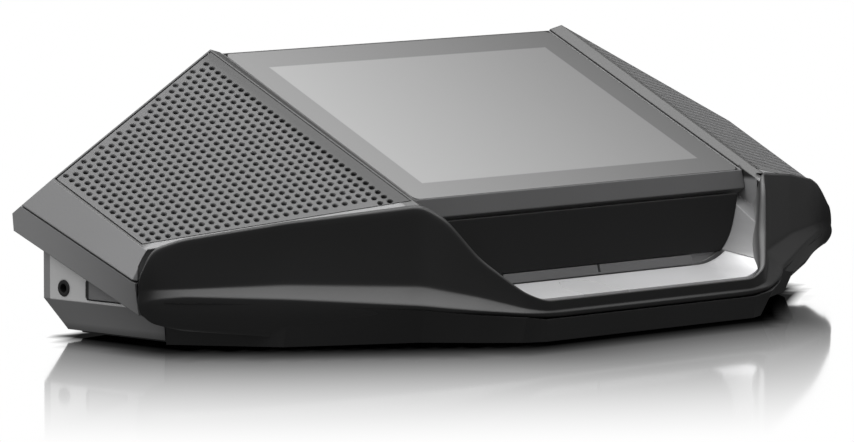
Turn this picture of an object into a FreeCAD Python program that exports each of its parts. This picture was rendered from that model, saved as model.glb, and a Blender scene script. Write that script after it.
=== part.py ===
import FreeCAD, Part
import Sketcher
import math
import os
import re

from FreeCAD import Placement, Rotation, Vector

# Tabletop conference unit: a tilted touch screen between two swept loudspeaker wings, with a dished talk
# key in a trough below the screen. Millimetres. X is across the unit (right as its user sees it), Y runs
# from the user to the back and Z is up. The origin is on the table, at the middle of the unit's box.

doc = FreeCAD.newDocument("ConferenceUnit")
sheet = doc.addObject("Spreadsheet::Sheet", "Sizes")

SIZES = {
    # Screen: the lit area sets the scale, and its lower edge is the datum of the tilted screen frame
    "screen_tilt": 25.43,
    "display_edge_y": -35.0,
    "display_edge_z": 58.9,
    "display_width": 152.4,
    "display_height": 91.44,
    "glass_side": 13.3,
    "glass_front": 10.7,
    "glass_rear": 12.0,
    "glass_thick": 1.8,
    "glass_corner": 3.0,
    "panel_border": 6.5,
    "panel_thick": 5.5,
    "frame_margin": 1.3,
    "frame_depth": 10.0,
    "frame_nose_run": 4.4,
    "frame_nose_drop": 5.6,
    "frame_heel_run": 2.5,
    # Wings: ridge beside the screen, sloping speaker facet, steep side band
    "ridge_rise": 2.0,
    "ridge_front_half": 94.8,
    "ridge_rear_half": 97.0,
    "ridge_front_reach": 19.15,
    "ridge_rear_reach": 104.4,
    "rim_rise": 0.3,
    "wing_front_half": 185.3,
    "wing_front_y": -1.0,
    "wing_front_z": 38.7,
    "wing_rear_half": 187.0,
    "wing_rear_y": 49.0,
    "groove_half": 191.5,
    "groove_y": 30.0,
    "parting_z": 27.2,
    "parting_slope": 0.42,
    "groove_gap": 0.7,
    "tip_half": 193.0,
    "tip_y": 65.0,
    "tip_z": 48.5,
    "rear_y": 84.0,
    "rear_flat_half": 100.0,
    "rear_shoulder_z": 60.0,
    "wall": 2.5,
    "housing_foot_z": 6.0,
    # Lower side: short side face, undercut, socket panel, chamfer to the floor
    "side_drop": 12.5,
    "side_lean": 1.5,
    "undercut_run": 12.0,
    "undercut_rise": 3.0,
    "panel_half": 178.0,
    "panel_foot_z": 16.0,
    "panel_rear_inset": 4.0,
    "chamfer_half": 163.0,
    "lower_edge_z": 2.65,
    # Trough with the talk key
    "trough_foot_half": 71.3,
    "trough_lean": 31.0,
    "trough_radius": 30.0,
    "trough_rear_y": -56.0,
    "trough_floor_z": 20.0,
    "trough_fall": 0.127,
    "fascia_top_y": -48.0,
    "fascia_top_z": 45.4,
    "fascia_lean": 15.6,
    "fascia_thick": 2.0,
    "light_bar_height": 3.7,
    "light_bar_half": 52.0,
    "slot_width": 1.4,
    "key_half": 70.0,
    "key_thick": 2.2,
    "key_gap": 0.5,
    "key_travel": 1.0,
    "key_post_x": 36.0,
    "key_post_y": -68.0,
    "key_post_radius": 3.0,
    "key_post_foot_z": 6.0,
    "key_nub_radius": 1.6,
    "sleeve_wall": 1.6,
    "sleeve_top_z": 12.0,
    "capsule_radius": 1.6,
    "capsule_length": 4.0,
    # Bumper: lip, cheeks, elbow beside the screen, wing and rounded ends
    "lip_half": 57.7,
    "lip_y": -82.0,
    "lip_z": 16.75,
    "cheek_bulge": 5.0,
    "cheek_low_share": 0.25,
    "cheek_high_share": 0.62,
    "lip_end_turn": 8.0,
    "corner_turn": 45.0,
    "end_turn": 36.0,
    "nose_turn": 66.0,
    "bumper_wall": 2.6,
    "bumper_return": 1.6,
    "end_return": 4.0,
    "lip_crease_z": 13.0,
    "lip_ledge": 1.8,
    "lip_edge_z": 11.6,
    "cheek_crease_z": 18.0,
    "cheek_ledge": 5.0,
    "cheek_edge_z": 14.3,
    "elbow_crease_z": 22.0,
    "elbow_ledge": 8.5,
    "elbow_edge_z": 16.3,
    "wing_crease_z": 24.7,
    "wing_ledge": 5.5,
    "wing_edge_z": 19.6,
    "corner_back": 6.3,
    "corner_crease_z": 24.9,
    "corner_ledge": 4.0,
    "corner_edge_z": 21.5,
    "end_crease_z": 25.0,
    "end_ledge": 2.2,
    "end_edge_z": 22.8,
    "nose_out": 4.2,
    "nose_back": 1.5,
    "nose_drop": 6.2,
    "nose_crease_z": 27.0,
    "nose_ledge": 0.8,
    "nose_edge_z": 24.0,
    "base_inset_lip": 0.3,
    "base_inset_elbow": 4.0,
    "base_inset_wing": 2.5,
    "base_inset_corner": 23.0,
    # Floor
    "floor_z": 1.2,
    "floor_thick": 2.5,
    "foot_radius": 8.0,
    "foot_sink": 0.7,
    "foot_front_x": 36.0,
    "foot_front_y": -56.0,
    "foot_rear_x": 130.0,
    "foot_rear_y": 44.0,
    # Grilles
    "grille_inset": 1.0,
    "grille_thick": 1.2,
    "felt_thick": 0.6,
    # Speakers
    "speaker_x": 138.0,
    "speaker_y": 14.0,
    "cone_radius": 24.0,
    "cone_depth": 12.0,
    "cone_skin": 0.8,
    "cap_radius": 8.5,
    "cap_rise": 2.5,
    "flange_radius": 33.0,
    "flange_thick": 2.0,
    "gasket_thick": 1.0,
    "basket_depth": 19.0,
    "basket_back": 16.0,
    "basket_skin": 1.6,
    "magnet_radius": 20.0,
    "magnet_length": 9.0,
    # Boards
    "board_thick": 1.6,
    "board_width": 150.0,
    "board_front_y": -36.0,
    "board_rear_y": 72.0,
    "board_z": 12.0,
    "standoff_radius": 3.5,
    "standoff_edge": 8.0,
    "can_side": 46.0,
    "can_y": 10.0,
    "can_height": 6.0,
    "socket_width": 16.0,
    "socket_length": 21.0,
    "socket_height": 13.5,
    "socket_spacing": 28.0,
    "socket_inset": 0.6,
    "socket_mouth_width": 11.8,
    "socket_mouth_height": 8.0,
    "socket_mouth_depth": 14.0,
    "key_board_width": 56.0,
    "key_board_depth": 14.0,
    "key_board_z": 9.0,
    "key_switch_side": 6.2,
    "key_switch_height": 3.5,
    # Side sockets and volume rockers
    "jack_y": 52.7,
    "jack_z": 20.4,
    "jack_bore": 3.5,
    "jack_barrel": 6.0,
    "jack_proud": 0.4,
    "jack_width": 10.0,
    "jack_height": 7.0,
    "jack_setback": 1.2,
    "jack_depth": 14.0,
    "rocker_y": 29.0,
    "rocker_z": 20.9,
    "rocker_length": 21.0,
    "rocker_height": 7.0,
    "rocker_proud": 1.2,
    "rocker_depth": 6.2,
    "rocker_round": 1.0,
    "rocker_pin_radius": 0.9,
    "rocker_pin_setback": 3.8,
    "rocker_gap": 0.6,
    "lug_thick": 1.5,
    "lug_length": 5.0,
    "lug_depth": 3.0,
    "side_board_setback": 15.7,
    "side_board_edge": 1.5,
    "side_board_height": 17.0,
    "volume_switch_side": 5.0,
    "volume_switch_spread": 14.0,
    "volume_switch_gap": 1.0,
    # Fasteners and running clearances
    "screw_radius": 1.4,
    "screw_head_radius": 2.8,
    "screw_head": 1.6,
    "screw_grip": 6.0,
    "screw_ease": 0.1,
    "small_screw_radius": 1.0,
    "small_screw_head_radius": 2.0,
    "small_screw_head": 1.4,
    "small_screw_grip": 1.6,
    "screen_screw_low": 8.0,
    "screen_screw_high": 84.0,
    "boss_x": 154.0,
    "boss_front_y": 32.0,
    "boss_rear_y": 56.0,
    "boss_width": 9.0,
    "boss_height": 8.0,
    "fit_gap": 0.3,
}

for row, (alias, value) in enumerate(SIZES.items(), start=1):
    sheet.set("A%d" % row, alias)
    sheet.set("B%d" % row, str(value))
    sheet.setAlias("B%d" % row, alias)
doc.recompute()

UP = Vector(0, 0, 1)
ACROSS = Vector(1, 0, 0)
REACH = 2 * max(SIZES.values())
nodes = []


def mm(alias):
    """A driving size, read from the sheet."""
    return float(sheet.get(alias))


def bind(target, prop, formula):
    """Bind a property to a formula written in the sheet's aliases."""
    target.setExpression(prop, re.sub(r"\b([a-z]\w*)\b", r"Sizes.\1", formula))


def evaluated(formula):
    """The present value of a formula in the sheet's aliases."""
    return float(sheet.evalExpression(formula))


def node(target, label):
    """Name a finished piece, and keep it for export."""
    target.Label = label
    nodes.append(target)
    return target


# Document objects from primitives


def box(name, size, at):
    """Block of the given size, centred on the point in X and Y and standing on it in Z."""
    shape = doc.addObject("Part::Box", name)
    for prop, formula in zip(("Length", "Width", "Height"), size):
        bind(shape, prop, formula)
    bind(shape, "Placement.Base.x", "%s - (%s) / 2" % (at[0], size[0]))
    bind(shape, "Placement.Base.y", "%s - (%s) / 2" % (at[1], size[1]))
    bind(shape, "Placement.Base.z", at[2])
    return shape


def rod(name, radius, length, at, axis=UP):
    """Round bar that starts at the point and runs along the axis."""
    bar = doc.addObject("Part::Cylinder", name)
    bind(bar, "Radius", radius)
    bind(bar, "Height", length)
    bar.Placement = Placement(Vector(), Rotation(UP, axis))
    for prop, formula in zip("xyz", at):
        bind(bar, "Placement.Base." + prop, formula)
    return bar


def cut(name, base, tool):
    """The base with the tool taken away."""
    result = doc.addObject("Part::Cut", name)
    result.Base = base
    result.Tool = tool
    return result


def fuse(name, *pieces):
    """Several overlapping pieces as one solid."""
    result = doc.addObject("Part::MultiFuse", name)
    result.Shapes = list(pieces)
    result.Refine = True
    return result


def group(name, pieces):
    """Alike but separate solids in one node."""
    result = doc.addObject("Part::Compound", name)
    result.Links = list(pieces)
    return result


def opposite(name, source):
    """The left-hand twin of a right-hand piece."""
    twin = doc.addObject("Part::Mirroring", name)
    twin.Source = source
    twin.Normal = ACROSS
    return twin


def pair(name, right):
    """Export a right-hand piece and its left-hand twin."""
    node(right, "right_" + name)
    node(opposite("left_" + name, right), "left_" + name)


def sculpted(name, shape):
    """A piece whose facets come from planes in space."""
    feature = doc.addObject("Part::Feature", name)
    feature.Shape = shape
    feature.Placement = Placement()
    return feature


# Bodies with sketches


def sketch_on(body, name, role):
    """A sketch on one of the body's own origin planes."""
    sketch = body.newObject("Sketcher::SketchObject", name)
    plane = next(item for item in body.Origin.OriginFeatures if item.Role == role)
    sketch.AttachmentSupport = [(plane, "")]
    sketch.MapMode = "FlatFace"
    return sketch


def outline(sketch, corners):
    """Closed outline of straight edges. Each corner is a pair of formulas from the sketch's origin."""
    spots = [[evaluated(formula) for formula in corner] for corner in corners]
    count = len(spots)
    for index in range(count):
        ends = [Vector(*spots[index], 0), Vector(*spots[(index + 1) % count], 0)]
        sketch.addGeometry(Part.LineSegment(*ends), False)
    for index, corner in enumerate(corners):
        sketch.addConstraint(Sketcher.Constraint("Coincident", index, 2, (index + 1) % count, 1))
        for kind, formula, place in zip(("DistanceX", "DistanceY"), corner, spots[index]):
            number = sketch.addConstraint(Sketcher.Constraint(kind, -1, 1, index, 1, place))
            bind(sketch, "Constraints[%d]" % number, formula)


def padded(label, role, corners, length, both_ways=False):
    """Body with one padded outline: downwards from its plane, or evenly to both sides."""
    body = doc.addObject("PartDesign::Body", label)
    sketch = sketch_on(body, label + "_outline", role)
    outline(sketch, corners)
    doc.recompute()
    pad = body.newObject("PartDesign::Pad", label + "_pad")
    pad.Profile = sketch
    bind(pad, "Length", length)
    pad.Midplane = both_ways
    pad.Reversed = not both_ways
    doc.recompute()
    return body


def pocketed(body, name, corners, depth):
    """Pocket cut downwards from the body's XY plane."""
    before = body.Shape.Volume
    sketch = sketch_on(body, name + "_outline", "XY_Plane")
    outline(sketch, corners)
    doc.recompute()
    pocket = body.newObject("PartDesign::Pocket", name)
    pocket.Profile = sketch
    bind(pocket, "Length", depth)
    doc.recompute()
    assert body.Shape.Volume < before, name + " cuts nothing"


def round_corners(body, height, radius):
    """Fillet the body's upright edges, which are the ones of the given length."""
    base = body.Tip
    names = ["Edge%d" % number for number, edge in enumerate(base.Shape.Edges, start=1)
             if abs(edge.Length - mm(height)) < 1e-6]
    fillet = body.newObject("PartDesign::Fillet", body.Name + "_rounding")
    fillet.Base = (base, names)
    bind(fillet, "Radius", radius)
    doc.recompute()


def revolved(label, corners):
    """Body turned about its own Z axis from an outline of (radius, height) corners."""
    body = doc.addObject("PartDesign::Body", label)
    sketch = sketch_on(body, label + "_outline", "XZ_Plane")
    outline(sketch, corners)
    doc.recompute()
    turn = body.newObject("PartDesign::Revolution", label + "_turn")
    turn.Profile = sketch
    turn.ReferenceAxis = (sketch, ["V_Axis"])
    turn.Angle = 360
    doc.recompute()
    return body


def rectangle(left, front, right, rear):
    """Corners of a rectangle from four formulas."""
    return [(left, front), (right, front), (right, rear), (left, rear)]


# Planes in space: each is a point and the normal that points out of the unit


def facet(a, b, c, within):
    """Plane through three points, facing away from a point inside the unit."""
    normal = (b - a).cross(c - a).normalize()
    if normal.dot(within - a) > 0:
        normal = normal * -1
    return a, normal


def moved(plane, distance):
    """The plane shifted along its normal."""
    return plane[0] + plane[1] * distance, plane[1]


def flipped(plane):
    """The same plane facing the other way."""
    return plane[0], plane[1] * -1


def height_on(plane, x, y):
    """Height of the plane above a place on the table."""
    point, normal = plane
    return point.z - (normal.x * (x - point.x) + normal.y * (y - point.y)) / normal.z


def crossing(first, second, y):
    """Point where two planes cross, at a given depth."""
    (p, m), (q, n) = first, second
    d = m.dot(p) - m.y * y
    e = n.dot(q) - n.y * y
    scale = m.x * n.z - m.z * n.x
    return Vector((d * n.z - e * m.z) / scale, y, (m.x * e - n.x * d) / scale)


def trim(shape, *planes):
    """What is left of the shape behind every plane."""
    for point, normal in planes:
        cutter = Part.makeBox(4 * REACH, 4 * REACH, 4 * REACH, Vector(-2 * REACH, -2 * REACH, 0))
        cutter.Placement = Placement(point, Rotation(UP, normal))
        shape = shape.cut(cutter)
    return shape


def right_half(foot=-REACH):
    """All the space on the right of the middle plane, above the given height."""
    return Part.makeBox(REACH, 2 * REACH, REACH - foot, Vector(0, -REACH, foot))


def both(half):
    """The right half joined to its mirror image."""
    return half.fuse(half.mirror(Vector(), ACROSS)).removeSplitter()


def block(corner, far_corner):
    """Axis-aligned block between two corners."""
    size = far_corner - corner
    return Part.makeBox(size.x, size.y, size.z, corner)


tilt = math.radians(mm("screen_tilt"))
up_screen = Vector(0, math.cos(tilt), math.sin(tilt))
off_screen = Vector(0, -math.sin(tilt), math.cos(tilt))
screen_origin = Vector(0, mm("display_edge_y"), mm("display_edge_z"))
screen_place = Placement(screen_origin, Rotation(ACROSS, mm("screen_tilt")))
frame_half = mm("display_width") / 2 + mm("glass_side") + mm("frame_margin")
clear = mm("fit_gap")
wall = mm("wall")


def on_screen(x, v, w):
    """Point from its place across, up and off the screen."""
    return screen_origin + ACROSS * x + up_screen * v + off_screen * w


inside = Vector(mm("speaker_x"), mm("speaker_y"), mm("wing_front_z"))
ridge_front = on_screen(mm("ridge_front_half"), -mm("ridge_front_reach"), mm("ridge_rise"))
ridge_rear = on_screen(mm("ridge_rear_half"), mm("ridge_rear_reach"), mm("ridge_rise"))
wing_front = Vector(mm("wing_front_half"), mm("wing_front_y"), mm("wing_front_z"))
ridge_top = (ridge_front, off_screen)
speaker_facet = facet(ridge_front, ridge_rear, wing_front, inside)
wing_rear = Vector(mm("wing_rear_half"), mm("wing_rear_y"), 0)
wing_rear.z = height_on(speaker_facet, wing_rear.x, wing_rear.y)
parting = (Vector(0, 0, mm("parting_z")), Vector(0, -mm("parting_slope"), 1).normalize())
groove = Vector(mm("groove_half"), mm("groove_y"), height_on(parting, 0, mm("groove_y")))
tip = Vector(mm("tip_half"), mm("tip_y"), mm("tip_z"))
rear_corner = Vector(mm("rear_flat_half"), mm("rear_y"), mm("rear_shoulder_z"))
band = facet(wing_front, wing_rear, groove, inside)
rear_wing = facet(ridge_rear, wing_rear, tip, inside)
rear_slope = facet(ridge_rear, ridge_rear - ACROSS, rear_corner, inside)
rear_taper = facet(rear_corner, rear_corner + UP, tip, inside)
rear_flat = (rear_corner, Vector(0, 1, 0))
back_facets = [rear_wing, rear_slope, rear_taper, rear_flat]


# Trough: flat floor, large corner arcs and leaning walls, carried forward and slightly down

trough_lean = math.radians(mm("trough_lean"))
trough_radius = mm("trough_radius")
trough_flat = mm("trough_foot_half") - trough_radius * math.tan((math.pi / 2 - trough_lean) / 2)
forward = Vector(0, -1, -mm("trough_fall"))


def trough(grow):
    """The trough's space grown outwards, from well behind the fascia to well in front of the lip."""
    centre = Vector(trough_flat, mm("trough_rear_y"), mm("trough_floor_z") + trough_radius)
    wall_side = Vector(math.cos(trough_lean), 0, -math.sin(trough_lean))
    wall_rise = Vector(math.sin(trough_lean), 0, math.cos(trough_lean))
    foot = centre - UP * (trough_radius + grow)
    bend = centre + (wall_side - UP).normalize() * (trough_radius + grow)
    shoulder = centre + wall_side * (trough_radius + grow)
    top = shoulder + wall_rise * mm("wing_front_z")
    left_foot, left_bend, left_shoulder, left_top = [
        Vector(-spot.x, spot.y, spot.z) for spot in (foot, bend, shoulder, top)
    ]
    edges = [
        Part.makeLine(left_foot, foot),
        Part.Arc(foot, bend, shoulder).toShape(),
        Part.makeLine(shoulder, top),
        Part.makeLine(top, left_top),
        Part.makeLine(left_top, left_shoulder),
        Part.Arc(left_shoulder, left_bend, left_foot).toShape(),
    ]
    section = Part.Face(Part.Wire(edges))
    section.translate(forward * -mm("display_width"))
    return section.extrude(forward * (2 * mm("display_width")))


def trough_height(x, y):
    """Height of the trough's surface above a place on the table."""
    floor = mm("trough_floor_z") - mm("trough_fall") * (mm("trough_rear_y") - y)
    past = max(x - trough_flat, 0)
    if past < trough_radius * math.cos(trough_lean):
        return floor + trough_radius - math.sqrt(trough_radius ** 2 - past ** 2)
    return floor + (x - mm("trough_foot_half")) / math.tan(trough_lean)


fascia_tilt = math.radians(mm("fascia_lean"))
fascia_edge = Vector(0, mm("fascia_top_y"), mm("fascia_top_z"))
fascia_front = (fascia_edge, Vector(0, -math.cos(fascia_tilt), math.sin(fascia_tilt)))
fascia_back = moved(fascia_front, -mm("fascia_thick"))
light_bar_foot = trough_height(0, mm("trough_rear_y")) + clear
light_bar_top = light_bar_foot + mm("light_bar_height")


# Bumper: sections at stations along the front, from the middle to the rounded end


def station(place, facing, top, crease, ledge, edge, turn, inset):
    """One section's place in plan, the way it faces (degrees to the right) and its heights."""
    angle = math.radians(facing)
    outward = Vector(math.sin(angle), -math.cos(angle), 0)
    return dict(place=Vector(place.x, place.y, 0), outward=outward, top=top, crease=crease,
                ledge=ledge, edge=edge, turn=turn, inset=inset)


def between(start, end, share):
    """Point part of the way from one place to another."""
    return start + (end - start) * share


lip_end = Vector(mm("lip_half"), mm("lip_y"), 0)
elbow = Vector(ridge_front.x, ridge_front.y, 0)
bulge = Vector(0, -mm("cheek_bulge"), 0)
cheek_low = between(lip_end, elbow, mm("cheek_low_share")) + bulge
cheek_high = between(lip_end, elbow, mm("cheek_high_share")) + bulge
wing_middle = between(ridge_front, wing_front, 0.5)
corner = wing_front - (wing_front - ridge_front).normalize() * mm("corner_back")
nose = wing_front + Vector(mm("nose_out"), mm("nose_back"), 0)
wing_sweep = math.degrees(math.atan2(wing_front.y - elbow.y, wing_front.x - elbow.x))
cheek_sweep = math.degrees(math.atan2(elbow.y - cheek_low.y, elbow.x - cheek_low.x))
turn = mm("bumper_return")
end_return = mm("end_return")
lip_edges = (mm("lip_crease_z"), mm("lip_ledge"), mm("lip_edge_z"), turn, mm("base_inset_lip"))
cheek_edges = (mm("cheek_crease_z"), mm("cheek_ledge"), mm("cheek_edge_z"), turn, mm("base_inset_elbow"))
low_edges = [(low + high) / 2 for low, high in zip(lip_edges, cheek_edges)]
elbow_edges = (mm("elbow_crease_z"), mm("elbow_ledge"), mm("elbow_edge_z"), turn, mm("base_inset_elbow"))
wing_edges = (mm("wing_crease_z"), mm("wing_ledge"), mm("wing_edge_z"), turn, mm("base_inset_wing"))
base_inset = mm("base_inset_corner")
corner_edges = (mm("corner_crease_z"), mm("corner_ledge"), mm("corner_edge_z"), turn, base_inset)
end_edges = (mm("end_crease_z"), mm("end_ledge"), mm("end_edge_z"), end_return, base_inset)
nose_edges = (mm("nose_crease_z"), mm("nose_ledge"), mm("nose_edge_z"), end_return, base_inset)
stations = [
    station(Vector(0, mm("lip_y"), 0), 0, mm("lip_z"), *lip_edges),
    station(lip_end, mm("lip_end_turn"), mm("lip_z"), *lip_edges),
    station(cheek_low, cheek_sweep * mm("cheek_high_share"), trough_height(cheek_low.x, cheek_low.y),
            *low_edges),
    station(cheek_high, cheek_sweep, trough_height(cheek_high.x, cheek_high.y), *cheek_edges),
    station(elbow, (cheek_sweep + wing_sweep) / 2, ridge_front.z, *elbow_edges),
    station(wing_middle, wing_sweep, wing_middle.z, *wing_edges),
    station(corner, mm("corner_turn"), corner.z, *corner_edges),
    station(wing_front, mm("end_turn"), wing_front.z, *end_edges),
    station(nose, mm("nose_turn"), wing_front.z - mm("nose_drop"), *nose_edges),
]
skirt_stations = stations[:-2]


def bumper_section(spot, grow):
    """Bent strip: front face, ledge, returned lower edge and back face, grown by a clearance."""
    skin = mm("bumper_wall")
    turn = spot["turn"]
    slope = (spot["crease"] - spot["edge"]) / (spot["ledge"] + skin)
    return [
        (grow, spot["top"] + grow),
        (grow, spot["crease"] + grow / 2),
        (spot["ledge"] + grow, spot["edge"] + grow / 2),
        (spot["ledge"] - turn / 2 + grow, spot["edge"] - turn - grow),
        (-skin - grow, spot["edge"] - turn + slope * spot["ledge"] - grow),
        (-skin - grow, spot["top"] + grow),
    ]


def skirt_section(spot, grow):
    """Leaning strip from under the bumper's edge down to the floor's front line."""
    top = spot["edge"] - spot["turn"] - clear + grow
    high = spot["ledge"] - spot["turn"] / 2
    low = -spot["inset"]
    thick = mm("floor_thick")
    return [
        (high + grow, top),
        (low + grow, mm("floor_z") - grow),
        (low - thick - grow, mm("floor_z") - grow),
        (high - thick - grow, top),
    ]


def along_front(section, places, grow):
    """Ruled solid through the sections, from the left end to the right end."""
    wires = []
    for side, spots in ((-1, places[:0:-1]), (1, places)):
        for spot in spots:
            corners = [spot["place"] + spot["outward"] * n + UP * z for n, z in section(spot, grow)]
            corners = [Vector(side * corner.x, corner.y, corner.z) for corner in corners]
            wires.append(Part.makePolygon(corners + corners[:1]))
    return Part.makeLoft(wires, True, True)


bumper_space = along_front(bumper_section, stations, clear)
skirt_space = along_front(skirt_section, skirt_stations, clear)
node(sculpted("front_bumper", along_front(bumper_section, stations, 0)), "front_bumper")

# Front planes behind the bumper
wing_face = facet(wing_front, ridge_front, wing_front + UP, inside)
cheek_face = facet(cheek_low, cheek_high, cheek_low + UP, inside)
elbow_face = facet(cheek_high, elbow, cheek_high + UP, inside)
nose_face = facet(wing_front, nose, wing_front + UP, inside)

# Speaker seat: the grille and the felt lie in a shallow pocket over the baffle
pocket_depth = mm("grille_thick") + mm("felt_thick")
ridge_side = facet(ridge_front, ridge_rear, ridge_rear + speaker_facet[1], inside)
grille_edges = [ridge_side, rear_wing, band, moved(wing_face, -mm("bumper_wall") - clear)]
speaker_spot = Vector(mm("speaker_x"), mm("speaker_y"), 0)
speaker_spot.z = height_on(speaker_facet, speaker_spot.x, speaker_spot.y)
baffle_back = moved(speaker_facet, -pocket_depth - wall)
speaker_seat = speaker_spot - speaker_facet[1] * (pocket_depth + wall)
speaker_place = Placement(speaker_seat, Rotation(UP, speaker_facet[1]))
screw_circle = (mm("cone_radius") + mm("flange_radius")) / 2 + mm("small_screw_radius")


def grille_slab(inset, top, bottom):
    """Sheet parallel to the speaker facet, inset from its edges, between two depths."""
    edges = [moved(edge, -inset) for edge in grille_edges]
    return trim(right_half(), *edges, moved(speaker_facet, -top), flipped(moved(speaker_facet, -bottom)))


def in_speaker(x, y, z):
    """Point from its place in the speaker's own frame."""
    return speaker_place.multVec(Vector(x, y, z))


def speaker_screw_spots():
    """Four places round the speaker's flange."""
    turns = [math.radians(45 + 90 * quarter) for quarter in range(4)]
    return [(screw_circle * math.cos(turn), screw_circle * math.sin(turn)) for turn in turns]


# Upper housing


def screen_block(half, low):
    """Right half of the space over the screen deck."""
    size = mm("display_height")
    space = Part.makeBox(half, 4 * size, 2 * size, Vector(0, -2 * size, low))
    space.Placement = screen_place
    return space


def rim_space():
    """Space between the two ridges, over the sloping rim beside the glass."""
    wires = []
    for end in (-1, 2):
        v = between(-mm("ridge_front_reach"), mm("ridge_rear_reach"), end)
        ridge = between(mm("ridge_front_half"), mm("ridge_rear_half"), end)
        rise = mm("display_height")
        flare = ridge + (ridge - frame_half) * rise / (mm("ridge_rise") - mm("rim_rise"))
        corners = [(0, mm("rim_rise")), (frame_half, mm("rim_rise")), (ridge, mm("ridge_rise")),
                   (flare, mm("ridge_rise") + rise), (0, mm("ridge_rise") + rise)]
        spots = [on_screen(x, v, w) for x, w in corners]
        wires.append(Part.makePolygon(spots + spots[:1]))
    return Part.makeLoft(wires, True, True)


def trough_space(grow):
    """Space in front of the fascia's back face and inside the trough."""
    return trim(trough(grow), flipped(moved(fascia_back, -grow)))


def depth_on(plane, z):
    """Depth of a plane that runs straight across, at a height."""
    point, normal = plane
    return point.y - normal.z * (z - point.z) / normal.y


bay_y = depth_on(fascia_back, light_bar_foot)


def key_bay(grow):
    """Right half of the well under the talk key."""
    half = mm("key_half") + clear
    top = trough_height(half, bay_y) + clear
    return block(Vector(0, -REACH, -REACH), Vector(half + grow, bay_y + grow, top))


outer_facets = [ridge_top, speaker_facet, band] + back_facets
shell = trim(right_half(mm("housing_foot_z")), flipped(parting), *outer_facets)
split = (elbow, ACROSS)
shell_wing = trim(shell, flipped(split), moved(wing_face, -clear))
shell_middle = trim(shell, split, moved(cheek_face, -clear), moved(elbow_face, -clear))
hollow = trim(right_half(), moved(ridge_top, -wall), baffle_back, moved(band, -wall),
              *[moved(plane, -wall) for plane in back_facets],
              moved(wing_face, -mm("bumper_wall") - clear - wall))
hollow = hollow.cut(screen_block(frame_half + clear + wall, -mm("frame_depth") - wall))
hollow = hollow.cut(trough_space(wall)).cut(key_bay(wall))
upper = shell_wing.fuse(shell_middle).cut(hollow)
upper = upper.cut(screen_block(frame_half + clear, -mm("frame_depth"))).cut(rim_space())
upper = upper.cut(trough_space(0)).cut(key_bay(0)).cut(bumper_space).cut(skirt_space)
upper = upper.cut(grille_slab(mm("grille_inset") - clear, -wall, pocket_depth))
upper = upper.cut(Part.makeCylinder(mm("cone_radius"), 2 * wall, in_speaker(0, 0, -wall / 2),
                                    speaker_facet[1]))
for x, y in speaker_screw_spots():
    hole = Part.makeCylinder(mm("small_screw_radius") + mm("screw_ease"),
                             mm("small_screw_grip") + mm("screw_ease"), in_speaker(x, y, 0),
                             speaker_facet[1])
    upper = upper.cut(hole)
screen_screw_x = frame_half - (frame_half - mm("display_width") / 2 - mm("panel_border")) / 2
screen_screw_spots = [(screen_screw_x, mm(height)) for height in ("screen_screw_low", "screen_screw_high")]
for x, v in screen_screw_spots:
    start = on_screen(x, v, -mm("frame_depth") - 2 * wall)
    upper = upper.cut(Part.makeCylinder(mm("screw_radius") + clear, 2 * wall, start, off_screen))
capsule_z = (light_bar_foot + light_bar_top) / 2
capsule_seat = Vector(0, depth_on(fascia_back, capsule_z), capsule_z)
inward = fascia_back[1] * -1
upper = upper.cut(Part.makeCylinder(mm("capsule_radius") + mm("screw_ease"), mm("capsule_length"),
                                    capsule_seat, inward))
upper = max(upper.Solids, key=lambda piece: piece.Volume)
node(sculpted("upper_housing", both(upper)), "upper_housing")

# Lower housing: side face and undercut above, socket panel and chamfer below

groove_line = [crossing(band, parting, y) for y in (groove.y, tip.y)]
side_foot = [spot - Vector(mm("side_lean"), 0, mm("side_drop")) for spot in groove_line]
panel_line = side_foot[1] + Vector(-mm("undercut_run"), 0, mm("undercut_rise"))
side_face = facet(*groove_line, side_foot[1], inside)
undercut = facet(*side_foot, panel_line, inside)
socket_panel = (Vector(mm("panel_half"), 0, 0), ACROSS)
panel_foot = Vector(mm("panel_half"), 0, mm("panel_foot_z"))
chamfer = facet(panel_foot, panel_foot + Vector(0, 1, 0),
                Vector(mm("chamfer_half"), 0, mm("lower_edge_z")), inside)
panel_rear = moved(rear_taper, -mm("panel_rear_inset"))
lower_top = moved(parting, -mm("groove_gap"))
skirt_end = skirt_stations[-1]
skirt_end_plane = (skirt_end["place"], UP.cross(skirt_end["outward"]))
before_skirt_end = trim(right_half(), moved(skirt_end_plane, clear), (wing_rear, Vector(0, 1, 0)))


def lower_space(inset, foot, open_ends):
    """The lower housing's outline, inset by a wall. Its cavity is open above, below and in front."""
    sides = [moved(plane, -inset) for plane in back_facets]
    ends = [] if open_ends else [lower_top]
    over = trim(right_half(foot), moved(side_face, -inset), moved(undercut, -inset), *sides, *ends)
    under = trim(right_half(foot), moved(socket_panel, -inset), moved(chamfer, -inset),
                 moved(panel_rear, -inset), *sides, *ends)
    return over.fuse(under)


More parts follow.
